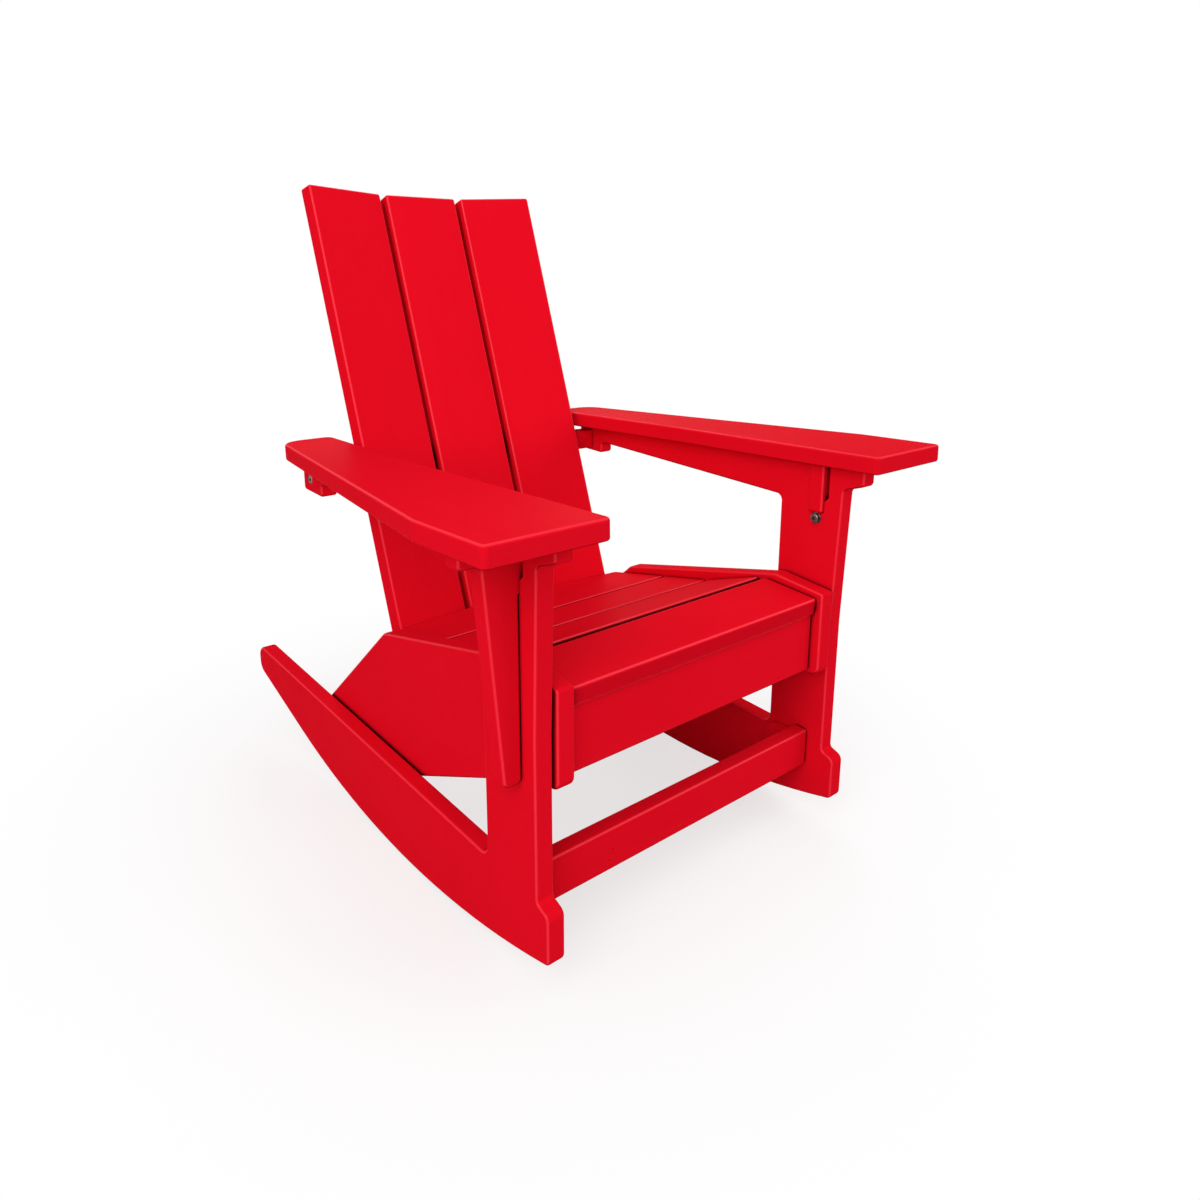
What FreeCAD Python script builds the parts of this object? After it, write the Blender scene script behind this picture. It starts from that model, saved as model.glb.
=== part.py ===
import FreeCAD
import Part
import math
import os

# Outdoor rocking chair of flat boards on two curved runners, in millimetres.
# x runs across the chair, y runs back and z up. The boards are laid out with the legs upright
# and y counted from below the runners' centre. At the end the chair is rolled back on its
# runners until it balances, and moved so that the origin is on the floor, below its middle.

# boards
board = 25.4              # thickness of every board
edge_round = 4.0          # radius along the boards' edges
fit_gap = 0.3             # gap where a board slides into place

# side frames: leg, runner, arm rail and horn cut from one board
frame_width = 568.0       # over the outer faces of the two frames
runner_radius = 1266.5
rest_roll = 1.67          # degrees, rolled back from upright legs
runner_arc_back = 385.0   # where the runner's arc becomes a straight tail
tail_end = 555.0
tail_corner = 21.0
runner_top_front = 124.0  # height of the runner's top edge at the leg
runner_top_rise = 2.8     # degrees, up towards the tail
toe_front = -322.5
toe_top = 108.0
toe_root = 116.0
leg_front = -301.2
leg_back = -196.4
leg_bend_height = 325.0   # above it the leg's front edge leans forward
leg_lean = 1.9            # degrees
horn_front = -341.8
horn_bottom = 541.0
horn_root = 530.0
arm_rail_bottom_front = 503.0
arm_rail_bottom_back = 520.5
hook_front = 228.0
hook_back = 291.0
hook_bottom = 500.5

# armrests
arm_front = -376.0
arm_back = 322.0
arm_top = 592.0           # height of the top face at the front edge
arm_fall = 1.53           # degrees, down towards the back
arm_outer = ((-376.0, 109.4), (-245.0, 109.4), (322.0, 19.0))  # y and reach outside the frame
arm_inner = ((-376.0, 47.8), (5.0, 48.4), (322.0, 61.0))       # y and reach inside it
arm_corners = (7.0, 6.0, 36.0, 14.0, 0.0, 8.0)  # radii, outer from the front, then inner from the rear

# braces: upright fins on the outer faces of the legs, with a tongue through each leg
brace_front = -276.5
brace_foot = 262.0
brace_foot_reach = 25.0   # from the leg's outer face to the fin's edge
brace_head_reach = 48.6   # the same, below the horn
brace_horn_reach = 76.6
brace_horn_bottom = 532.0
tongue_bottom = 490.0
tongue_proud = 7.0        # past the leg's inner face
slot_step = 507.0         # above it the slot is wider at the front
slot_relief = 7.0

# seat rails
rail_spacer = 3.8         # between a rail and its side frame
rail_outline = (          # y, z and corner radius
    (-305.5, 249.5, 14.0),
    (-268.0, 249.5, 12.0),
    (131.0, 75.0, 20.0),
    (372.0, 93.0, 14.0),
    (112.7, 315.2, 26.0),
    (-216.0, 388.0, 16.0),
    (-305.5, 378.5, 5.0),
)

# seat surface: a bent line that the slats' top faces follow, as y and z
seat_line = ((-297.0, 370.5), (-195.0, 378.4), (-77.5, 341.0), (200.0, 286.0))
crest_gap = (4.0, 8.0)    # from the crest to the slats before and behind it
slat_gap = 5.0
third_slat_width = 94.0
seat_back_gap = 2.0       # from the rear slat to the back
seat_end_gap = 1.5        # from the slats' and the apron's ends to the rails

# apron below the front slat
apron_front = -289.5
apron_bottom = 255.5

# back
back_tilt = 18.9          # degrees from upright
back_foot = (180.0, 306.4)  # y and z of a point on the middle slat's front face
back_slat_width = 131.0    # over the widest of its faces
back_slat_up = 680.5      # along the slat from back_foot
back_slat_down = 112.0
back_slat_spacing = 11.5   # between the slats' front faces
back_side_turn = 9.5      # degrees, outer slats turned forward about their inner edges
back_side_step = 1.0      # those edges stand this far forward
back_rail_height = 31.8
back_rail_flat = 75.0     # half length of a back rail's straight rear edge
upper_rail = (508.0, 253.6, 279.0, 320.0)  # bottom, front, back at the ends, back in the middle
lower_rail = (203.0, 143.0, 187.0, 220.0)

# front stretcher, with two pilot holes in its front face
stretcher_front = -272.5
stretcher_bottom = 80.2
stretcher_height = 60.7
pilot_holes = ((-140.5, 109.5), (-147.0, 96.2))
pilot_radius = 1.1
pilot_depth = 5.0

# cleats
seat_cleat_depth = 38.0
seat_cleat_back = 118.0
stretcher_block = (15.0, 44.0, 42.0)  # across, back and up
stretcher_block_bottom = 88.0
stretcher_block_round = 12.0
apron_block = (38.0, 44.0)  # back and up
apron_block_bottom = 260.0
back_block = (22.0, 28.0, 32.0)  # across, back and up, below the lower back rail's ends
back_block_front = 159.0

# fasteners
screw_radius = 2.5
screw_head_radius = 4.6
screw_head_height = 3.0
bolt_radius = 4.0
bolt_head_radius = 7.0
bolt_head_height = 4.4
socket_size = 5.0         # across its flats
socket_depth = 2.8
washer_radius = 9.0
washer_thickness = 1.6
head_gap = 0.2            # around a head sunk in a board
tip_cover = 7.0           # board left beyond a fastener's tip
screw_sink = 6.0          # from a board's face to the top of a sunk screw's head
spacer_radius = 14.0
brace_bolt = (-263.8, 480.8)  # y and z
brace_bolt_bite = 30.0
hook_bolt_lift = 14.0     # above the upper back rail's underside
hook_bolt_bite = 34.0
rail_bolts = ((-214.0, 292.0), (-214.0, 254.0), (150.0, 110.0), (320.0, 115.0))
slat_screw_inset = 22.0   # from a slat's edges, along the seat line
cleat_screws = ((-233.0, 333.0), (-133.0, 315.0), (70.0, 270.0))
arm_screws = (-110.0, 140.0)
back_screw_inset = 26.0   # from a back slat's edges
back_screw_grip = 16.0    # rail between the head and the slat

half_frame = frame_width / 2
frame_inner = half_frame - board
rail_outer = frame_inner - rail_spacer
rail_inner = rail_outer - board
cleat_inner = rail_inner - board
apron_back = apron_front + board
stretcher_back = stretcher_front + board
brace_middle = brace_front + board / 2


def vec(x, y, z):
    return FreeCAD.Vector(x, y, z)


def slope(degrees):
    return math.tan(math.radians(degrees))


def rod(start, end, radius):
    return Part.makeCylinder(radius, (end - start).Length, start, end - start)


def mirrored(solid):
    return solid.mirror(vec(0, 0, 0), vec(1, 0, 0))


def box(x, y, z):
    return Part.makeBox(x[1] - x[0], y[1] - y[0], z[1] - z[0], vec(x[0], y[0], z[0]))


def rounded_box(x, y, z, radius):
    solid = box(x, y, z)
    return solid.makeFillet(radius, solid.Edges)


# A board cut to an outline and rounded along its edges. Corners are (a, b, radius) in the
# plane across the axis, and via gives a point that the edge leaving the first corner bends through.
def plate(corners, axis, low, thickness, via=None, rounding=edge_round):
    place = {"x": lambda a, b: vec(low, a, b), "y": lambda a, b: vec(a, low, b), "z": lambda a, b: vec(a, b, low)}[axis]
    along = {"x": vec(1, 0, 0), "y": vec(0, 1, 0), "z": vec(0, 0, 1)}[axis] * thickness
    edges = []
    for corner, following in zip(corners, corners[1:] + corners[:1]):
        edges.append(Part.makeLine(place(*corner[:2]), place(*following[:2])))
    if via:
        edges[0] = Part.Arc(place(*corners[0][:2]), place(*via), place(*corners[1][:2])).toShape()
    solid = Part.Face(Part.Wire(edges)).extrude(along)
    for a, b, radius in corners:
        if radius > 0:
            solid = solid.makeFillet(radius, [edge_at(solid, place(a, b), place(a, b) + along)])
    if rounding > 0:
        faces = [f for f in solid.Faces if abs(abs(f.normalAt(0, 0).dot(along)) - thickness) < 0.001]
        solid = solid.makeFillet(rounding, [edge for face in faces for edge in face.Edges])
    return solid


def edge_at(solid, start, end):
    for edge in solid.Edges:
        if len(edge.Vertexes) == 2:
            first, last = (vertex.Point for vertex in edge.Vertexes)
            if min((first - start).Length + (last - end).Length, (first - end).Length + (last - start).Length) < 0.01:
                return edge
    raise ValueError("no edge at " + str(start))


def arm_underside(y):
    return arm_top - board / math.cos(math.radians(arm_fall)) - (y - arm_front) * slope(arm_fall)


def runner_bottom(y):
    return runner_radius - math.sqrt(runner_radius ** 2 - y ** 2)


def side_frame():
    tail_rise = runner_arc_back / math.sqrt(runner_radius ** 2 - runner_arc_back ** 2)
    corners = [
        (toe_front, runner_bottom(toe_front), 10),
        (runner_arc_back, runner_bottom(runner_arc_back), 0),
        (tail_end, runner_bottom(runner_arc_back) + (tail_end - runner_arc_back) * tail_rise, tail_corner),
        (tail_end, runner_top_front + (tail_end - leg_back) * slope(runner_top_rise), tail_corner),
        (leg_back, runner_top_front, 14),
        (leg_back, arm_rail_bottom_front, 10),
        (hook_front, arm_rail_bottom_back, 6),
        (hook_front, hook_bottom, 6),
        (hook_back, hook_bottom + 2, 6),
        (hook_back, arm_underside(hook_back), 6),
        (horn_front, arm_underside(horn_front), 6),
        (horn_front, horn_bottom, 7),
        (leg_front - (horn_root - leg_bend_height) * slope(leg_lean), horn_root, 10),
        (leg_front, leg_bend_height, 0),
        (leg_front, toe_root, 6),
        (toe_front, toe_top, 12),
    ]
    frame = plate(corners, "x", frame_inner, board, via=(0, 0))
    front = brace_front - fit_gap
    back = brace_front + board + fit_gap
    slot = plate([
        (back, tongue_bottom - fit_gap, 2),
        (back, arm_top, 0),
        (front - slot_relief, arm_top, 0),
        (front - slot_relief, slot_step + slot_relief, 0),
        (front, slot_step, 0),
        (front, tongue_bottom - fit_gap, 2),
    ], "x", frame_inner - board, 3 * board, rounding=0)
    return frame.cut(slot)


def arm_brace():
    brace = plate([
        (half_frame, brace_foot, 9),
        (half_frame, tongue_bottom, 0),
        (frame_inner - tongue_proud, tongue_bottom, 5),
        (frame_inner - tongue_proud, arm_top, 0),
        (half_frame + brace_horn_reach, arm_top, 0),
        (half_frame + brace_horn_reach, brace_horn_bottom, 6),
        (half_frame + brace_head_reach, brace_horn_bottom, 9),
        (half_frame + brace_foot_reach, brace_foot, 9),
    ], "y", brace_front, board)
    rise = 2 * board
    over = [(y, arm_underside(y) + lift, 0) for y, lift in ((arm_front, 0), (0, 0), (0, rise), (arm_front, rise))]
    return brace.cut(plate(over, "x", 0, frame_width, rounding=0))


def armrest():
    outer = [(half_frame + reach, y) for y, reach in arm_outer]
    inner = [(half_frame - reach, y) for y, reach in reversed(arm_inner)]
    corners = [(x, y, radius) for (x, y), radius in zip(outer + inner, arm_corners)]
    flat = plate(corners, "z", arm_top - board, board)
    flat.rotate(vec(0, arm_front, arm_top), vec(1, 0, 0), -arm_fall)
    return flat


# The seat line moved down square to itself: its ends and its two bends, as (y, z).
def seat_line_below(depth):
    lines = []
    for (y, z), (y_next, z_next) in zip(seat_line, seat_line[1:]):
        rise = (z_next - z) / (y_next - y)
        lines.append((rise, z - depth * math.sqrt(1 + rise ** 2) - y * rise))
    bends = []
    for (rise, level), (rise_next, level_next) in zip(lines, lines[1:]):
        y = (level_next - level) / (rise - rise_next)
        bends.append((y, level + y * rise))
    return lines, bends


def seat_cleat():
    outline = []
    for depth in (board, board + seat_cleat_depth):
        lines, bends = seat_line_below(depth)
        front = (apron_back, lines[0][1] + apron_back * lines[0][0])
        back = (seat_cleat_back, lines[2][1] + seat_cleat_back * lines[2][0])
        outline.append([front] + bends + [back])
    corners = [(y, z, 0) for y, z in outline[0] + outline[1][::-1]]
    return plate(corners, "x", cleat_inner, board, rounding=0)


# Front and back ends of the slats along the seat line, and the part of the line each is on.
def slat_spans():
    crest, dip = seat_line[1][0], seat_line[2][0]
    third_back = dip + slat_gap / 2 + third_slat_width
    return {
        "seat_slat_front": (seat_line[0][0], crest - crest_gap[0], 0),
        "seat_slat_second": (crest + crest_gap[1], dip - slat_gap / 2, 1),
        "seat_slat_third": (dip + slat_gap / 2, third_back, 2),
        "seat_slat_rear": (third_back + slat_gap, seat_line[3][0], 2),
    }


def seat_place(solid, y, part):
    rise, level = seat_line_below(0)[0][part]
    solid.rotate(vec(0, 0, 0), vec(1, 0, 0), math.degrees(math.atan(rise)))
    solid.translate(vec(0, y, level + y * rise))
    return solid


def seat_slat(front, back, part):
    rise = seat_line_below(0)[0][part][0]
    half = rail_inner - seat_end_gap
    length = (back - front) * math.sqrt(1 + rise ** 2)
    return seat_place(rounded_box((-half, half), (0, length), (-board, 0), edge_round), front, part)


def apron():
    rise, level = seat_line_below(board)[0][0]
    tops = [(y, level + y * rise, 0) for y in (apron_back, apron_front)]
    half = rail_inner - seat_end_gap
    flat = plate([(apron_front, apron_bottom, 0), (apron_back, apron_bottom, 0)] + tops, "x", -half, 2 * half, rounding=0)
    front_edges = [edge for edge in flat.Edges if edge.BoundBox.YMax < apron_front + 0.01]
    low_edge = edge_at(flat, vec(-half, apron_back, apron_bottom), vec(half, apron_back, apron_bottom))
    return flat.makeFillet(edge_round, front_edges + [low_edge])


# Moves a solid built upright at the origin to the middle slat, or to an outer slat's inner edge.
def back_place(solid, outer):
    if outer:
        solid.rotate(vec(0, 0, 0), vec(0, 0, 1), -back_side_turn)
        solid.translate(vec(back_slat_width / 2 + back_slat_spacing, -back_side_step, 0))
    solid.rotate(vec(0, 0, 0), vec(1, 0, 0), -back_tilt)
    solid.translate(vec(0, *back_foot))
    return solid


# An outer slat's inner edge is bevelled to stay parallel to the middle slat's.
def back_slat(outer):
    low, high = (0, back_slat_width) if outer else (-back_slat_width / 2, back_slat_width / 2)
    bevel = board * slope(back_side_turn) if outer else 0
    corners = [(low, 0, 0), (high, 0, 0), (high, board, 0), (low - bevel, board, 0)]
    slat = plate(corners, "z", -back_slat_down, back_slat_down + back_slat_up, rounding=0)
    return back_place(slat.makeFillet(edge_round, slat.Edges), outer)


# Everything between a level at the back slats' faces and a far one, to trim what meets them.
def back_trim(face, far):
    turn = math.radians(back_side_turn)
    inner = -(face * (1 - math.cos(turn)) + back_side_step) / math.sin(turn)
    bend = back_slat_width / 2 + back_slat_spacing + inner * math.cos(turn) + face * math.sin(turn)
    end = half_frame
    forward = face - (end - bend) * math.tan(turn)
    outline = [(-end, forward, 0), (-bend, face, 0), (bend, face, 0), (end, forward, 0), (end, far, 0), (-end, far, 0)]
    low = -2 * back_slat_down
    return back_place(plate(outline, "z", low, back_slat_up - low, rounding=0), False)


def back_rail(sizes, half):
    bottom, front, end_back, middle_back = sizes
    corners = [(-half, front, 0), (half, front, 0), (half, end_back, 0), (back_rail_flat, middle_back, 10),
               (-back_rail_flat, middle_back, 10), (-half, end_back, 0)]
    rail = plate(corners, "z", bottom, back_rail_height, rounding=0)
    return rail.cut(back_trim(board, -6 * board))


def front_stretcher():
    half = frame_inner - fit_gap
    top = stretcher_bottom + stretcher_height
    bar = rounded_box((-half, half), (stretcher_front, stretcher_back), (stretcher_bottom, top), edge_round)
    for x, z in pilot_holes:
        bar = bar.cut(rod(vec(x, stretcher_front - 1, z), vec(x, stretcher_front + pilot_depth, z), pilot_radius))
    return bar


def corner_block(x, y, z, radius):
    block = box(x, y, z)
    rear_top = [e for e in block.Edges if e.BoundBox.YMin > y[1] - 0.01 and e.BoundBox.ZMin > z[1] - 0.01]
    return block.makeFillet(radius, rear_top)


# Fasteners are (solid, room): the room is what they take out of the boards, with the way in.
def screw(start, direction, length, sink=screw_sink):
    way = direction.normalize()
    seat = start + way * (sink + screw_head_height)
    head = rod(start + way * sink, seat, screw_head_radius)
    shank = rod(seat, seat + way * length, screw_radius)
    room = rod(start - way, seat, screw_head_radius + head_gap)
    return head.fuse(shank).removeSplitter(), room.fuse(shank)


def bolt(start, direction, length, sunk):
    way = direction.normalize()
    seat = start + way * bolt_head_height if sunk else start
    outer = seat - way * bolt_head_height
    head = rod(outer, seat, bolt_head_radius)
    shank = rod(seat, seat + way * length, bolt_radius)
    side = FreeCAD.Vector(0, 0, 1).cross(way)
    up = way.cross(side)
    ring = []
    for i in range(7):
        turn = math.radians(60 * i)
        ring.append(outer + (side * math.cos(turn) + up * math.sin(turn)) * (socket_size / math.sqrt(3)))
    socket = Part.Face(Part.makePolygon(ring)).extrude(way * socket_depth)
    room = rod(outer - way, seat, bolt_head_radius + head_gap).fuse(shank) if sunk else shank
    return head.fuse(shank).cut(socket), room


def ring(start, direction, thickness, radius):
    way = direction.normalize()
    return rod(start, start + way * thickness, radius).cut(rod(start, start + way * thickness, bolt_radius))


def rail_fasteners():
    out = vec(1, 0, 0)
    bolts, washers, spacers = [], [], []
    length = washer_thickness + board + rail_spacer + board - tip_cover
    for y, z in rail_bolts:
        bolts.append(bolt(vec(rail_inner - washer_thickness, y, z), vec(1, 0, 0), length, False))
        washers.append(ring(vec(rail_inner - washer_thickness, y, z), out, washer_thickness, washer_radius))
        spacers.append(ring(vec(rail_outer, y, z), out, rail_spacer, spacer_radius))
    y, z = brace_bolt
    length = washer_thickness + board + brace_bolt_bite
    brace_bolts = [bolt(vec(frame_inner - washer_thickness, y, z), vec(1, 0, 0), length, False)]
    washers.append(ring(vec(frame_inner - washer_thickness, y, z), out, washer_thickness, washer_radius))
    return bolts, brace_bolts, washers, spacers


def hook_bolts():
    y = (upper_rail[1] + upper_rail[2]) / 2
    start = vec(half_frame, y, upper_rail[0] + hook_bolt_lift)
    return [bolt(start, vec(-1, 0, 0), board - bolt_head_height + hook_bolt_bite, True)]


def seat_screws():
    # up through the seat cleats, square to each slat
    screws = []
    depth = seat_cleat_depth + board
    x = (cleat_inner + rail_inner) / 2
    for front, back, part in slat_spans().values():
        rise, level = seat_line_below(depth)[0][part]
        back = min(back, seat_cleat_back - 2)
        shift = rise * depth / math.sqrt(1 + rise ** 2)
        for y in (max(front, apron_back) + slat_screw_inset, back - slat_screw_inset):
            start = vec(x, y + shift, level + (y + shift) * rise)
            screws.append(screw(start, vec(0, -rise, 1), depth - tip_cover - screw_sink - screw_head_height))
    return screws


def cleat_fasteners():
    # seat cleats to the rails, and each block to the two boards it joins
    length = 2 * board - tip_cover - screw_sink - screw_head_height
    screws = [screw(vec(cleat_inner, y, z), vec(1, 0, 0), length) for y, z in cleat_screws]
    z = apron_block_bottom + apron_block[1] / 2
    back = apron_back + apron_block[0]
    screws.append(screw(vec(cleat_inner, back - 10, z + 12), vec(1, 0, 0), length))
    length = apron_block[0] + board - tip_cover - screw_sink - screw_head_height
    screws.append(screw(vec((cleat_inner + rail_inner) / 2, back, z - 10), vec(0, -1, 0), length))
    across, deep, high = stretcher_block
    back = stretcher_back + deep
    z = stretcher_block_bottom + high / 2
    length = across + board - tip_cover - screw_sink - screw_head_height
    screws.append(screw(vec(frame_inner - across, back - 12, z - 8), vec(1, 0, 0), length))
    length = deep + board - tip_cover - screw_sink - screw_head_height
    screws.append(screw(vec(frame_inner - across / 2, back, z + 4), vec(0, -1, 0), length))
    across, deep, high = back_block
    bottom = lower_rail[0] - high
    length = across + board - tip_cover - screw_sink - screw_head_height
    screws.append(screw(vec(rail_inner - across, back_block_front + 7, bottom + 10), vec(1, 0, 0), length))
    length = high + back_rail_height - tip_cover - screw_sink - screw_head_height
    screws.append(screw(vec(rail_inner - across / 2, back_block_front + deep - 8, bottom), vec(0, 0, 1), length))
    return screws


def arm_fasteners():
    # up into the armrests through the arm rails and the braces' horns
    middle = half_frame - board / 2
    screws = []
    for y in arm_screws:
        share = (y - leg_back) / (hook_front - leg_back)
        bottom = arm_rail_bottom_front + share * (arm_rail_bottom_back - arm_rail_bottom_front)
        length = arm_underside(y) - bottom + board - tip_cover - screw_sink - screw_head_height
        screws.append(screw(vec(middle, y, bottom), vec(0, 0, 1), length))
    x = half_frame + brace_horn_reach - 13
    length = arm_underside(brace_middle) - brace_horn_bottom + board - tip_cover - screw_sink - screw_head_height
    screws.append(screw(vec(x, brace_middle, brace_horn_bottom), vec(0, 0, 1), length))
    return screws


def back_fasteners():
    # forward through the back rails into the slats
    screws = []
    slat_screws = ((False, back_slat_width / 2), (True, 0), (True, back_slat_width))
    for sizes in (upper_rail, lower_rail):
        along = (sizes[0] + back_rail_height / 2 - back_foot[1]) / math.cos(math.radians(back_tilt))
        for outer, edge in slat_screws:
            x = edge - back_screw_inset if edge else back_screw_inset
            start = vec(x, board + back_screw_grip + screw_head_height + 2 * board, along)
            solid, room = screw(start, vec(0, -1, 0), back_screw_grip + board - tip_cover, 2 * board)
            screws.append((back_place(solid, outer), back_place(room, outer)))
    return screws


pieces = {}
paired = {
    "side_frame": side_frame(),
    "arm_brace": arm_brace(),
    "armrest": armrest(),
    "seat_rail": plate(list(rail_outline), "x", rail_inner, board),
    "seat_cleat": seat_cleat(),
    "apron_block": box(
        (cleat_inner, rail_inner),
        (apron_back, apron_back + apron_block[0]),
        (apron_block_bottom, apron_block_bottom + apron_block[1])),
    "stretcher_block": corner_block(
        (frame_inner - stretcher_block[0], frame_inner),
        (stretcher_back, stretcher_back + stretcher_block[1]),
        (stretcher_block_bottom, stretcher_block_bottom + stretcher_block[2]),
        stretcher_block_round),
    "back_block": box(
        (rail_inner - back_block[0], rail_inner),
        (back_block_front, back_block_front + back_block[1]),
        (lower_rail[0] - back_block[2], lower_rail[0])),
}
for name, solid in paired.items():
    pieces["left_" + name] = solid
    pieces["right_" + name] = mirrored(solid)
for name, span in slat_spans().items():
    pieces[name] = seat_slat(*span)
pieces["seat_slat_rear"] = pieces["seat_slat_rear"].cut(back_trim(-seat_back_gap, 6 * board))
pieces["front_apron"] = apron()
pieces["front_stretcher"] = front_stretcher()
pieces["upper_back_rail"] = back_rail(upper_rail, frame_inner - fit_gap)
pieces["lower_back_rail"] = back_rail(lower_rail, rail_inner - fit_gap)
pieces["back_slat_middle"] = back_slat(False)
pieces["back_slat_left"] = back_slat(True)
pieces["back_slat_right"] = mirrored(back_slat(True))

rail_bolt_set, brace_bolt_set, washers, spacers = rail_fasteners()
fasteners = {
    "rail_bolts": rail_bolt_set,
    "brace_bolts": brace_bolt_set,
    "hook_bolts": hook_bolts(),
    "seat_screws": seat_screws(),
    "cleat_screws": cleat_fasteners(),
    "arm_screws": arm_fasteners(),
    "back_screws": back_fasteners(),
}
rooms = [room for group in fasteners.values() for solid, room in group]
rooms += [mirrored(room) for room in rooms]
for name, solid in pieces.items():
    near = [room for room in rooms if room.BoundBox.intersect(solid.BoundBox)]
    pieces[name] = solid.cut(near) if near else solid
groups = {name: [solid for solid, room in group] for name, group in fasteners.items()}
groups["washers"] = washers
groups["rail_spacers"] = spacers
for name, solids in groups.items():
    pieces[name] = Part.makeCompound(solids + [mirrored(solid) for solid in solids])

for solid in pieces.values():
    solid.rotate(vec(0, 0, runner_radius), vec(1, 0, 0), -rest_roll)
outer = [pieces[name].optimalBoundingBox(False) for name in ("left_armrest", "left_side_frame")]
middle = (outer[0].YMin + outer[1].YMax) / 2

os.makedirs("parts", exist_ok=True)
for name, solid in pieces.items():
    solid.translate(vec(0, -middle, 0))
    solid.exportStep("parts/" + name + ".step")
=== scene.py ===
import math
import bpy
import bmesh
import numpy as np
from mathutils import Matrix, Vector


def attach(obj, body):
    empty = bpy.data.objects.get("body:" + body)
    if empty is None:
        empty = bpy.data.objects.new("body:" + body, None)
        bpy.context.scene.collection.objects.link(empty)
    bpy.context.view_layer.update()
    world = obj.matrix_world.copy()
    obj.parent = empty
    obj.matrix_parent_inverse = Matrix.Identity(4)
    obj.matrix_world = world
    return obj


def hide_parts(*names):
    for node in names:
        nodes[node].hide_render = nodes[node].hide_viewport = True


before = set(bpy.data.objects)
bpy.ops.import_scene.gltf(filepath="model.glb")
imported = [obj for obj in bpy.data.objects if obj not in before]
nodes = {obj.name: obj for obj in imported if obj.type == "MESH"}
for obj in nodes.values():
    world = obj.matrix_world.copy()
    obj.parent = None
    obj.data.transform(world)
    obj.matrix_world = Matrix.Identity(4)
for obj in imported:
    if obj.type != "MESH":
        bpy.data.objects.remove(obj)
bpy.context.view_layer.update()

scene = bpy.context.scene
print("frame loaded:", len(nodes), "nodes")


# What comes out of a node, so that sums read as sums. Plain numbers mix in on either side.
class Wire:
    def __init__(self, maker, socket):
        self.maker = maker
        self.socket = socket

    def math(self, operation, *others):
        return self.maker.add("ShaderNodeMath", {"operation": operation}, [self, *others])

    def __add__(self, other):
        return self.math("ADD", other)

    def __sub__(self, other):
        return self.math("SUBTRACT", other)

    def __mul__(self, other):
        return self.math("MULTIPLY", other)

    def __radd__(self, other):
        return self + other

    def __rsub__(self, other):
        return -self + other

    def __rmul__(self, other):
        return self * other

    def __neg__(self):
        return self * -1

    def __abs__(self):
        return self.math("ABSOLUTE")

    # A soft step from 0 to 1.
    def between(self, low, high):
        span = {"Value": self, "From Min": low, "From Max": high}
        return self.maker.add("ShaderNodeMapRange", {"interpolation_type": "SMOOTHSTEP"}, span)


# Adds nodes to one tree. Sockets go by name, or by their order in a list.
class NodeMaker:
    def __init__(self, tree):
        self.tree = tree

    def add(self, kind, settings=None, sockets=None, out=0):
        node = self.tree.nodes.new(kind)
        for key, value in (settings or {}).items():
            setattr(node, key, value)
        pairs = enumerate(sockets) if isinstance(sockets, list) else (sockets or {}).items()
        for key, value in pairs:
            for item in value if isinstance(value, list) else [value]:
                if isinstance(item, Wire):
                    self.tree.links.new(item.socket, node.inputs[key])
                else:
                    node.inputs[key].default_value = item
        return Wire(self, node.outputs[out]) if node.outputs else None


# Adds the nodes of a material or of the world.
class Mixer(NodeMaker):
    def __init__(self, owner):
        owner.use_nodes = True
        owner.node_tree.nodes.clear()
        super().__init__(owner.node_tree)
        self.owner = owner

    def along(self, vector, direction):
        pair = [vector, tuple(direction)]
        return self.add("ShaderNodeVectorMath", {"operation": "DOT_PRODUCT"}, pair, "Value")

    def join(self, x, y, z):
        return self.add("ShaderNodeCombineXYZ", None, [x, y, z])

    def noise(self, place, pattern):
        return self.add("ShaderNodeTexNoise", None, {"Vector": place, **pattern})

    def bump(self, height):
        return self.add("ShaderNodeBump", None, {"Strength": 1.0, "Distance": 1.0, "Height": height})

    # Several sockets of a Mix share a name, so its colour ones go by number.
    def blend(self, factor, first, second):
        return self.add("ShaderNodeMix", {"data_type": "RGBA"}, {0: factor, 6: first, 7: second}, 2)

    def finish(self, shader, kind="Material"):
        self.add("ShaderNodeOutput" + kind, None, {"Surface": shader})
        return self.owner


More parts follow.
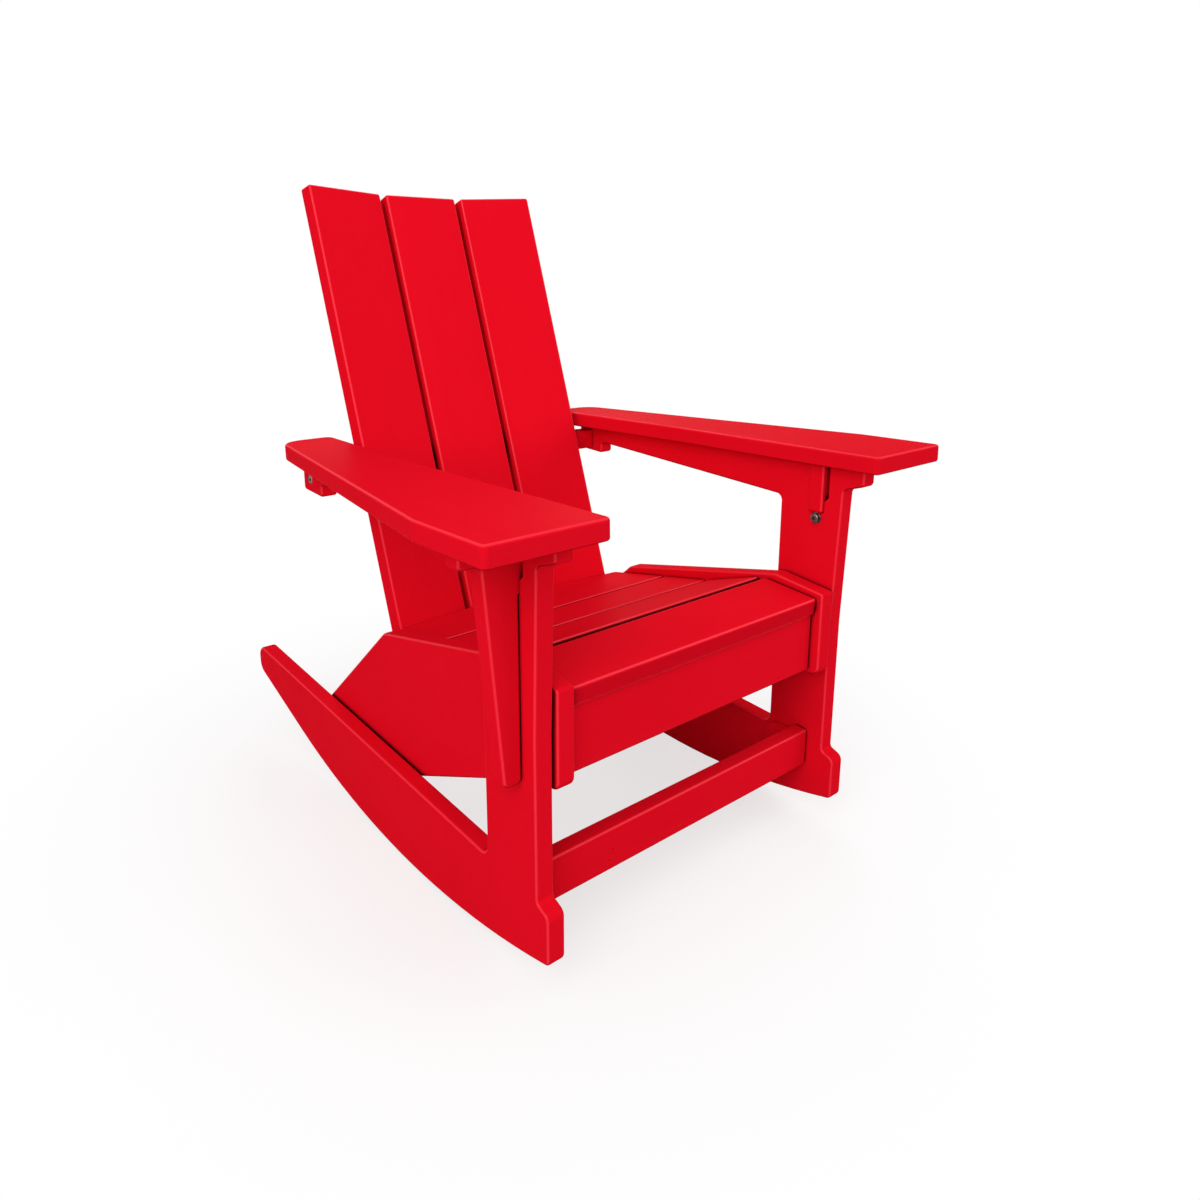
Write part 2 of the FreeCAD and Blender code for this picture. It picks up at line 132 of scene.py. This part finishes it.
# Lumber: HDPE boards, coloured right through. Lengths in metres, and Scale is per metre.
lumber = {
    "red": (0.74, 0.0042, 0.0150, 1.0),
    "deepRed": (0.67, 0.0028, 0.0115, 1.0),     # cloudier patches
    "arrisHighlight": (0.88, 0.030, 0.052, 1.0),          # painted highlight on rounded arrises that face up
    "edgeShade": (0.54, 0.0024, 0.0105, 1.0),        # painted shade on the sawn edges of the seat and the arms
    "underShade": (0.22, 0.0012, 0.0045, 1.0),       # painted shade on arrises that face the ground
    "gapShade": (0.020, 0.0008, 0.0014, 1.0),       # painted shade deep in the gaps
    "clouds": {"Scale": 5.0, "Detail": 3.0, "Roughness": 0.5},
    "streaks": {"Scale": 260.0, "Detail": 2.0, "Roughness": 0.5},   # extrusion lines
    "bands": {"Scale": 260.0 / 9, "Detail": 2.0, "Roughness": 0.5},
    "grain": {"Scale": 1500.0, "Detail": 2.0, "Roughness": 0.6},    # fine pebble
    "cutter": {"Scale": 330.0, "Detail": 1.0, "Roughness": 0.5},    # cutter marks on a sawn edge
    "drawn": {"clouds": 0.6, "streaks": 0.02, "bands": 0.05, "cutter": 0.02},   # small is long drawn
    "cloudStep": (0.30, 0.75),
    "bandStep": (0.35, 0.75),
    "patches": {"all": 0.55, "clouds": 0.55, "bands": 0.25, "streaks": 0.12},   # shares of deep red
    "cloudyHighlight": 0.30,         # how far clouds add to the painted highlight
    "underShadeShare": 0.60,
    "skyRays": 8,
    "faceShade": (0.04, 0.20),  # a face this shut in gets painted shade
    "roughness": {"plain": 0.50, "clouds": 0.10, "grain": 0.10, "arris": 0.06, "edge": 0.05},
    "gloss": 0.0015,            # specular level
    "arrisCoat": 0.22,
    "coatRoughness": 0.30,
    "bump": {"streaks": 0.00005, "grain": 0.00004, "cutter": 0.00003},
}

# Where one part of a board ends and the next begins, by how squarely it faces the board's own way.
turns = {
    "edge": (0.02, 0.20),       # sawn edge
    "rim": (0.42, 0.68),        # rounded arris
    "face": (0.92, 0.995),
    "front": (0.70, 0.95),      # gets no painted gap shade
    "lit": (-0.45, -0.10),      # upward share, below which an arris faces the ground and gets painted shade instead of the painted highlight
}

# Painted shade darkens boards in narrow gaps: past a depth, and where less than a share of sky is in reach.
plainBoard = {
    "reach": 0.010,
    "depth": (0.002, 0.008),
    "shade": (0.25, 0.70),
    "edgeShade": 0.0,        # how much painted shade darkens sawn edges
    # strength of the painted highlight on upward arrises
    "highlight": 0.40,
}
boardKinds = {
    "seat_slat": {
        "reach": 0.016, "depth": (0.0007, 0.0016), "shade": (0.62, 0.95), "edgeShade": 0.75, "highlight": 0.75},
    "front_apron": {"reach": 0.016, "depth": (0.0003, 0.0010), "shade": (0.65, 0.97)},
    "back_slat": {"reach": 0.022, "depth": (0.008, 0.015), "shade": (0.20, 0.60)},
    "armrest": {"edgeShade": 0.25},
}


def boardMaterial(name, facing, length, seed):
    mix = Mixer(bpy.data.materials.new(name + "Lumber"))
    kind = {**plainBoard, **next((look for word, look in boardKinds.items() if word in name), {})}
    facing = Vector(facing).normalized()
    length = Vector(length).normalized()
    front = max(facing.dot(vert.co) for vert in nodes[name].data.vertices)
    place = mix.add("ShaderNodeTexCoord", None, None, "Object")
    normal = mix.add("ShaderNodeNewGeometry", None, None, "Normal")
    u = mix.along(place, length)
    v = mix.along(place, facing.cross(length))
    w = mix.along(place, facing)
    turn = mix.along(normal, facing)
    face = abs(turn)
    rim = face.between(*turns["rim"]) * (1 - face.between(*turns["face"]))
    lit = mix.along(normal, (0, 0, 1)).between(*turns["lit"])
    # Only rims that face up take the painted highlight; rims that face the ground take painted shade.
    arris = rim * lit
    edge = 1 - face.between(*turns["edge"])

    drawn = lumber["drawn"]
    clouds = mix.noise(mix.join(u * drawn["clouds"] + seed, v, w), lumber["clouds"])
    streaks = mix.noise(mix.join(u * drawn["streaks"] + seed, v, w), lumber["streaks"])
    bands = mix.noise(mix.join(u * drawn["bands"], v + seed, w), lumber["bands"])
    grain = mix.noise(mix.join(u, v, w + seed), lumber["grain"])
    cutter = mix.noise(mix.join(u, v, w * drawn["cutter"] + seed), lumber["cutter"])

    patches = lumber["patches"]
    patchy = clouds.between(*lumber["cloudStep"]) * patches["clouds"]
    patchy = patchy + bands.between(*lumber["bandStep"]) * patches["bands"] + streaks * patches["streaks"]
    color = mix.blend(patchy * patches["all"], lumber["red"], lumber["deepRed"])
    # Painted shade that makes the sawn edges darker than the faces.
    color = mix.blend(edge * kind["edgeShade"], color, lumber["edgeShade"])
    # Painted highlight on the upward arrises, mottled by the clouds.
    color = mix.blend(arris * (kind["highlight"] + clouds * lumber["cloudyHighlight"]), color, lumber["arrisHighlight"])
    # Painted shade on the arrises that face the ground.
    color = mix.blend(rim * (1 - lit) * lumber["underShadeShare"], color, lumber["underShade"])

    # Painted shade in narrow gaps and on shut-in faces, where little sky is in reach.
    rays = {"samples": lumber["skyRays"]}
    openness = mix.add("ShaderNodeAmbientOcclusion", rays, {"Distance": kind["reach"]}, "AO")
    gapShade = (1 - openness.between(*kind["shade"])) * (front - w).between(*kind["depth"])
    gapShade = gapShade * (1 - turn.between(*turns["front"]))
    gapShade = gapShade.math("MAXIMUM", (1 - openness.between(*lumber["faceShade"])) * face)
    color = mix.blend(gapShade, color, lumber["gapShade"])

    rough = lumber["roughness"]     # the noises swing around a half
    matt = rough["plain"] + (clouds - 0.5) * rough["clouds"] + (grain - 0.5) * rough["grain"]
    matt = matt - arris * rough["arris"] + edge * rough["edge"]
    bump = lumber["bump"]
    height = (streaks - 0.5) * face * bump["streaks"] + (grain - 0.5) * bump["grain"]
    height = height + (cutter - 0.5) * edge * bump["cutter"]
    shader = mix.add("ShaderNodeBsdfPrincipled", None, {
        "Base Color": color, "Roughness": matt, "Normal": mix.bump(height),
        "Specular IOR Level": lumber["gloss"],
        "Coat Weight": arris * (1 - gapShade) * lumber["arrisCoat"],
        "Coat Roughness": lumber["coatRoughness"]})
    return mix.finish(shader)


# Stainless fixings: a dull film over fine turned rings.
steel = {
    "color": (0.20, 0.145, 0.145, 1.0),
    "dull": (0.085, 0.055, 0.055, 1.0),
    "film": {"Scale": 160.0, "Detail": 3.0, "Roughness": 0.5},
    "filmStep": (0.35, 0.70),
    "rings": {"Scale": 2600.0, "Detail": 1.0, "Roughness": 0.5},
    "roughness": 0.30,
    "filmRoughness": 0.25,
    "bump": 0.00001,
}


def steelMaterial():
    mix = Mixer(bpy.data.materials.new("stainlessSteel"))
    place = mix.add("ShaderNodeTexCoord", None, None, "Object")
    film = mix.noise(place, steel["film"])
    rings = mix.noise(place, steel["rings"])
    shader = mix.add("ShaderNodeBsdfPrincipled", None, {
        "Base Color": mix.blend(film.between(*steel["filmStep"]), steel["color"], steel["dull"]),
        "Roughness": steel["roughness"] + (film - 0.5) * steel["filmRoughness"],
        "Normal": mix.bump(rings * steel["bump"]), "Metallic": 1.0})
    return mix.finish(shader)


# Black nylon spacers with a little dust.
nylon = {
    "black": (0.012, 0.012, 0.013, 1.0),
    "dusty": (0.03, 0.03, 0.031, 1.0),
    "film": {"Scale": 300.0, "Detail": 3.0, "Roughness": 0.5},
    "roughness": 0.50,
    "filmRoughness": 0.20,
    "gloss": 0.30,      # specular level
}


def nylonMaterial():
    mix = Mixer(bpy.data.materials.new("spacerNylon"))
    film = mix.noise(mix.add("ShaderNodeTexCoord", None, None, "Object"), nylon["film"])
    shader = mix.add("ShaderNodeBsdfPrincipled", None, {
        "Base Color": mix.blend(film, nylon["black"], nylon["dusty"]),
        "Roughness": nylon["roughness"] + film * nylon["filmRoughness"],
        "Specular IOR Level": nylon["gloss"]})
    return mix.finish(shader)


# How the chair rests, in degrees.
rest = {
    "roll": 1.67,       # back on its runners
    "armFall": 1.53,
    "railFall": 12.3,
    "seatTilts": {"front": 4.4, "second": -17.7, "third": -11.2, "rear": -11.2},
    "backTilt": 18.9,
    "backTurns": {"middle": 0, "left": 9.5, "right": -9.5},
}


# A direction of the chair on upright legs, rolled back to where it rests.
def rolled(x, y, z):
    return Matrix.Rotation(math.radians(-rest["roll"]), 3, "X") @ Vector((x, y, z))


def tilted(y, z, degrees):
    turn = math.radians(degrees)
    return rolled(0, y * math.cos(turn) - z * math.sin(turn), y * math.sin(turn) + z * math.cos(turn))


def backFacing(degrees):
    turn = math.radians(degrees)
    lean = Matrix.Rotation(math.radians(-rest["backTilt"]), 3, "X")
    return rolled(*(lean @ Vector((-math.sin(turn), -math.cos(turn), 0))))


# Which way each board faces, and which way it runs.
across = Vector((1, 0, 0))
upright = rolled(0, 0, 1)
boards = {
    "front_apron": (rolled(0, -1, 0), across),
    "front_stretcher": (rolled(0, -1, 0), across),
    "upper_back_rail": (upright, across),
    "lower_back_rail": (upright, across),
}
for slat, tilt in rest["seatTilts"].items():
    boards["seat_slat_" + slat] = (tilted(0, 1, tilt), across)
for slat, turn in rest["backTurns"].items():
    boards["back_slat_" + slat] = (backFacing(turn), tilted(0, 1, -rest["backTilt"]))
for side in ("left_", "right_"):
    boards[side + "arm_brace"] = (rolled(0, 1, 0), upright)
    boards[side + "armrest"] = (tilted(0, 1, -rest["armFall"]), tilted(1, 0, -rest["armFall"]))
    for board in ("side_frame", "apron_block", "stretcher_block", "back_block"):
        boards[side + board] = (across, upright)
    for board in ("seat_rail", "seat_cleat"):
        boards[side + board] = (across, tilted(1, 0, -rest["railFall"]))

boardShift = 3.7        # moves the pattern on from one board to the next
for number, (name, (facing, length)) in enumerate(sorted(boards.items())):
    material = boardMaterial(name, facing, length, number * boardShift)
    for slot in nodes[name].material_slots:
        slot.material = material
print("lumber on", len(boards), "boards")

steelFinish = steelMaterial()
nylonFinish = nylonMaterial()
for slot in nodes["rail_spacers"].material_slots:
    slot.material = nylonFinish


# How the frame's fasteners are measured, in metres.
caliper = {
    "weld": 0.000001,       # corners this close are one
    "slice": 0.001,         # depth that counts as an end
    "rim": 0.004,           # an end's corners this far out are on its rim
}


def middleOf(points):
    return (points.max(0) + points.min(0)) / 2


# Where the frame holds each fastener: the middle of its head's top, the way it faces, and its length.
def fastenerPlaces(node):
    work = bmesh.new()
    work.from_mesh(nodes[node].data)
    bmesh.ops.remove_doubles(work, verts=work.verts, dist=caliper["weld"])
    seen = set()
    places = []
    for start in work.verts:
        if start in seen:
            continue
        group = [start]
        seen.add(start)
        for vert in group:
            for link in vert.link_edges:
                other = link.other_vert(vert)
                if other not in seen:
                    seen.add(other)
                    group.append(other)
        points = np.array([vert.co for vert in group])
        middle = middleOf(points)
        spread, ways = np.linalg.svd(points - points.mean(0), full_matrices=False)[1:]
        axis = ways[0] if spread[0] / spread[1] > spread[1] / spread[2] else ways[2]
        run = (points - middle) @ axis
        wide = np.linalg.norm((points - middle) - np.outer(run, axis), axis=1)
        if wide[run > run.mean()].max() < wide[run < run.mean()].max():
            axis, run = -axis, -run
        foot = middleOf(points[run < run.min() + caliper["slice"]])
        top = points[run > run.max() - caliper["slice"]]
        head = middleOf(top[np.linalg.norm(top - top.mean(0), axis=1) > caliper["rim"]])
        length = np.linalg.norm(head - foot)
        places.append((head, (head - foot) / length, length))
    work.free()
    return places


# Sizes of the fixings, in metres.
fixings = {
    "boltHead": {
        "Head Radius": 0.007, "Head Height": 0.0044, "Edge": 0.0007,
        "Socket": 0.005, "Socket Depth": 0.0028, "Shank Radius": 0.004},
    "screwHead": {
        "Head Radius": 0.0046, "Head Height": 0.003, "Edge": 0.0009,
        "Socket": 0.003, "Socket Depth": 0.0018, "Shank Radius": 0.0025},
    "washer": {"Outside": 0.009, "Inside": 0.0042, "Edge": 0.0003},
}

# How finely they are turned.
lathe = {
    "headSides": 48,
    "ringSides": 48,
    "shankSides": 24,
    "sharpAngle": 28.0,     # degrees
    "spinSeed": 11,
}


# A tree with a named input for each size, which turns one fixing and sets it on every point.
# Its Length is what the frame's fastener measures.
class FixingMaker(NodeMaker):
    def __init__(self, name, sizes):
        super().__init__(bpy.data.node_groups.new(name, "GeometryNodeTree"))
        self.tree.interface.new_socket("Points", in_out="INPUT", socket_type="NodeSocketGeometry")
        for key in [*sizes, "Length"]:
            self.tree.interface.new_socket(key, in_out="INPUT", socket_type="NodeSocketFloat")
        self.tree.interface.new_socket("Mesh", in_out="OUTPUT", socket_type="NodeSocketGeometry")
        outputs = self.add("NodeGroupInput").socket.node.outputs
        self.size = {socket.name: Wire(self, socket) for socket in outputs if socket.name}

    def moved(self, shape, height):
        lift = self.add("ShaderNodeCombineXYZ", None, {"Z": height})
        return self.add("GeometryNodeTransform", None, {"Geometry": shape, "Translation": lift})

    def drum(self, sides, radius, depth, base):
        sockets = {"Vertices": sides, "Radius": radius, "Depth": depth}
        return self.moved(self.add("GeometryNodeMeshCylinder", None, sockets, "Mesh"), base + depth * 0.5)

    # Turned to the point's aim and spun by a fixed random angle.
    def scattered(self, shape):
        aim = self.add("GeometryNodeInputNamedAttribute", {"data_type": "FLOAT_VECTOR"}, {"Name": "aim"})
        turn = self.add("FunctionNodeAlignRotationToVector", {"axis": "Z"}, {"Vector": aim})
        circle = {"Min": 0.0, "Max": math.tau, "Seed": lathe["spinSeed"]}
        angle = self.add("FunctionNodeRandomValue", {"data_type": "FLOAT"}, circle, 1)
        spin = self.add("FunctionNodeAxisAngleToRotation", None, {"Axis": (0, 0, 1), "Angle": angle})
        both = {"Rotation": turn, "Rotate By": spin}
        turn = self.add("FunctionNodeRotateRotation", {"rotation_space": "LOCAL"}, both)
        placed = self.add("GeometryNodeInstanceOnPoints", None, {
            "Points": self.size["Points"], "Instance": shape, "Rotation": turn})
        real = self.add("GeometryNodeRealizeInstances", None, {"Geometry": placed})
        dressed = {"Geometry": real, "Material": steelFinish}
        self.add("NodeGroupOutput", None, {"Mesh": self.add("GeometryNodeSetMaterial", None, dressed)})
        return self.tree


# A round head with a turned edge and a hexagonal socket, on a shank. Its top is at height 0.
def headTree(name, sizes):
    maker = FixingMaker(name, sizes)
    size = maker.size
    radius, height, edge = (size[key] for key in ("Head Radius", "Head Height", "Edge"))
    side = maker.drum(lathe["headSides"], radius, height - edge, -height)
    crown = maker.add("GeometryNodeMeshCone", None, {
        "Vertices": lathe["headSides"], "Side Segments": 1, "Radius Bottom": radius,
        "Radius Top": radius - edge, "Depth": edge}, "Mesh")
    crown = maker.moved(crown, -edge)
    corner = size["Socket"].math("DIVIDE", math.sqrt(3))    # from the width across flats
    socket = maker.drum(6, corner, size["Socket Depth"] * 2, -size["Socket Depth"])
    shankLength = size["Length"] - height * 0.5     # it starts halfway up the head
    shank = maker.drum(lathe["shankSides"], size["Shank Radius"], shankLength, -size["Length"])
    pieces = {"Mesh 2": [side, crown, shank]}
    solid = maker.add("GeometryNodeMeshBoolean", {"operation": "UNION"}, pieces, "Mesh")
    pieces = {"Mesh 1": solid, "Mesh 2": socket}
    solid = maker.add("GeometryNodeMeshBoolean", {"operation": "DIFFERENCE"}, pieces, "Mesh")
    return maker.scattered(solid)


# A flat ring with softened edges. Its top is at height 0, and its length is its thickness.
def washerTree(name, sizes):
    maker = FixingMaker(name, sizes)
    size = maker.size
    half = (size["Outside"] + size["Inside"]) * 0.5
    circle = {"Resolution": lathe["ringSides"], "Radius": half}
    path = maker.add("GeometryNodeCurvePrimitiveCircle", None, circle, "Curve")
    section = {"Width": size["Outside"] - size["Inside"], "Height": size["Length"]}
    outline = maker.add("GeometryNodeCurvePrimitiveQuadrilateral", None, section, "Curve")
    outline = maker.add("GeometryNodeFilletCurve", None, {"Curve": outline, "Radius": size["Edge"]}, "Curve")
    ring = maker.add("GeometryNodeCurveToMesh", None, {"Curve": path, "Profile Curve": outline}, "Mesh")
    return maker.scattered(maker.moved(ring, size["Length"] * -0.5))


def socketId(tree, name):
    inputs = (item for item in tree.interface.items_tree if item.in_out == "INPUT")
    return next(item.identifier for item in inputs if item.name == name)


# Runs a tree on points and keeps the result as a plain mesh.
def fixingMesh(tree, sizes, places):
    carrier = bpy.data.meshes.new("carrier")
    carrier.from_pydata([tuple(head) for head, aim in places], [], [])
    aims = carrier.attributes.new("aim", "FLOAT_VECTOR", "POINT")
    aims.data.foreach_set("vector", np.array([aim for head, aim in places], np.float32).ravel())
    holder = bpy.data.objects.new("carrier", carrier)
    scene.collection.objects.link(holder)
    modifier = holder.modifiers.new("fixing", "NODES")
    modifier.node_group = tree
    for key, value in sizes.items():
        modifier[socketId(tree, key)] = float(value)
    holder.update_tag()
    graph = bpy.context.evaluated_depsgraph_get()
    mesh = bpy.data.meshes.new_from_object(holder.evaluated_get(graph))
    bpy.data.objects.remove(holder)
    return mesh


def joined(name, meshes):
    work = bmesh.new()
    for mesh in meshes:
        work.from_mesh(mesh)
    result = bpy.data.meshes.new(name)
    work.to_mesh(result)
    work.free()
    result.materials.append(steelFinish)
    for polygon in result.polygons:
        polygon.material_index = 0
        polygon.use_smooth = True
    result.set_sharp_from_angle(angle=math.radians(lathe["sharpAngle"]))
    return result


groups = {
    "brace_bolts": "boltHead", "hook_bolts": "boltHead", "rail_bolts": "boltHead",
    "washers": "washer",
    "seat_screws": "screwHead", "cleat_screws": "screwHead",
    "arm_screws": "screwHead", "back_screws": "screwHead",
}
trees = {
    "boltHead": headTree("Socket Bolt", fixings["boltHead"]),
    "screwHead": headTree("Pan Screw", fixings["screwHead"]),
    "washer": washerTree("Washer", fixings["washer"]),
}
for node, kind in groups.items():
    byLength = {}       # to a tenth of a millimetre
    for head, aim, length in fastenerPlaces(node):
        byLength.setdefault(round(float(length), 4), []).append((head, aim))
    meshes = [fixingMesh(trees[kind], {**fixings[kind], "Length": length}, places)
              for length, places in sorted(byLength.items())]
    piece = bpy.data.objects.new(node + "_turned", joined(node + "_turned", meshes))
    scene.collection.objects.link(piece)
    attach(piece, "root")
    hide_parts(node)
    print(node, sum(map(len, byLength.values())), "placed")

# Camera at the photograph's angle.
view = {
    "place": (-0.8297, -1.1332, 0.8717),
    "turn": (74.843, -1.653, -41.189),      # degrees
    "lens": 27.687,
    "shift": (-0.015667, -0.089),
    "nearest": 0.01,
}
lens = bpy.data.cameras.new("view")
lens.lens = view["lens"]
lens.shift_x, lens.shift_y = view["shift"]
lens.clip_start = view["nearest"]
camera = bpy.data.objects.new("view", lens)
camera.location = view["place"]
camera.rotation_euler = [math.radians(angle) for angle in view["turn"]]
scene.collection.objects.link(camera)
scene.camera = camera

# Studio: a pale floor that fades into a white background, four soft boxes and an even sky.
studio = {
    "floor": (0.90, 0.90, 0.90, 1.0),
    "floorRadius": 14.0,
    "floorSides": 64,
    "bounce": (0.66, 0.66, 0.66, 1.0),  # what the chair gets back from the floor
    "white": (1.0, 1.0, 1.0, 1.0),
    "fade": (0.35, 0.95),       # metres from the chair
    "fadeStart": 0.70,          # share of plain white below the chair
    "skyLevel": 0.30,
}
softBoxes = {
    "topBox": {"place": (-0.3, -0.3, 3.2), "aim": (0, 0, 0.3), "size": 3.0, "power": 20.0},
    "frontBox": {"place": (-2.75, -1.65, 2.35), "aim": (0, 0, 0.45), "size": 3.4, "power": 103.0},
    "fillBox": {"place": (2.3, -2.4, 1.7), "aim": (0, 0, 0.45), "size": 2.6, "power": 42.0},
    "rearBox": {"place": (1.9, 2.6, 2.0), "aim": (0, 0, 0.45), "size": 2.6, "power": 46.0},
}


# 1 where the camera sees a surface itself, or in metal or glass.
def seenDirectly(mix):
    rays = ("Is Camera Ray", "Is Glossy Ray", "Is Transmission Ray")
    camera, glossy, through = [mix.add("ShaderNodeLightPath", None, None, ray) for ray in rays]
    return camera.math("MAXIMUM", glossy.math("MAXIMUM", through))


def floorMaterial():
    mix = Mixer(bpy.data.materials.new("studioFloor"))
    place = mix.add("ShaderNodeTexCoord", None, None, "Object")
    away = mix.add("ShaderNodeVectorMath", {"operation": "LENGTH"}, [place], "Value")
    seen = seenDirectly(mix)
    color = mix.blend(seen, studio["bounce"], studio["floor"])
    matt = mix.add("ShaderNodeBsdfDiffuse", None, {"Color": color})
    white = mix.add("ShaderNodeEmission", None, {"Color": studio["white"], "Strength": 1.0})
    share = away.between(*studio["fade"]) * (1 - studio["fadeStart"]) + studio["fadeStart"]
    return mix.finish(mix.add("ShaderNodeMixShader", None, [share * seen, matt, white]))


floorMesh = bpy.data.meshes.new("floor")
work = bmesh.new()
bmesh.ops.create_circle(work, cap_ends=True, segments=studio["floorSides"], radius=studio["floorRadius"])
work.to_mesh(floorMesh)
work.free()
floorMesh.materials.append(floorMaterial())
floor = bpy.data.objects.new("floor", floorMesh)
scene.collection.objects.link(floor)

for name, setup in softBoxes.items():
    light = bpy.data.lights.new(name, "AREA")
    light.shape = "DISK"
    light.size = setup["size"]
    light.energy = setup["power"]
    lamp = bpy.data.objects.new(name, light)
    lamp.location = setup["place"]
    aim = Vector(setup["aim"]) - Vector(setup["place"])
    lamp.rotation_euler = aim.to_track_quat("-Z", "Y").to_euler()
    scene.collection.objects.link(lamp)

sky = Mixer(bpy.data.worlds.new("sky"))
level = seenDirectly(sky) * (1 - studio["skyLevel"]) + studio["skyLevel"]
glow = sky.add("ShaderNodeBackground", None, {"Color": studio["white"], "Strength": level})
scene.world = sky.finish(glow, "World")
scene.view_settings.view_transform = "Standard"
print("studio set")
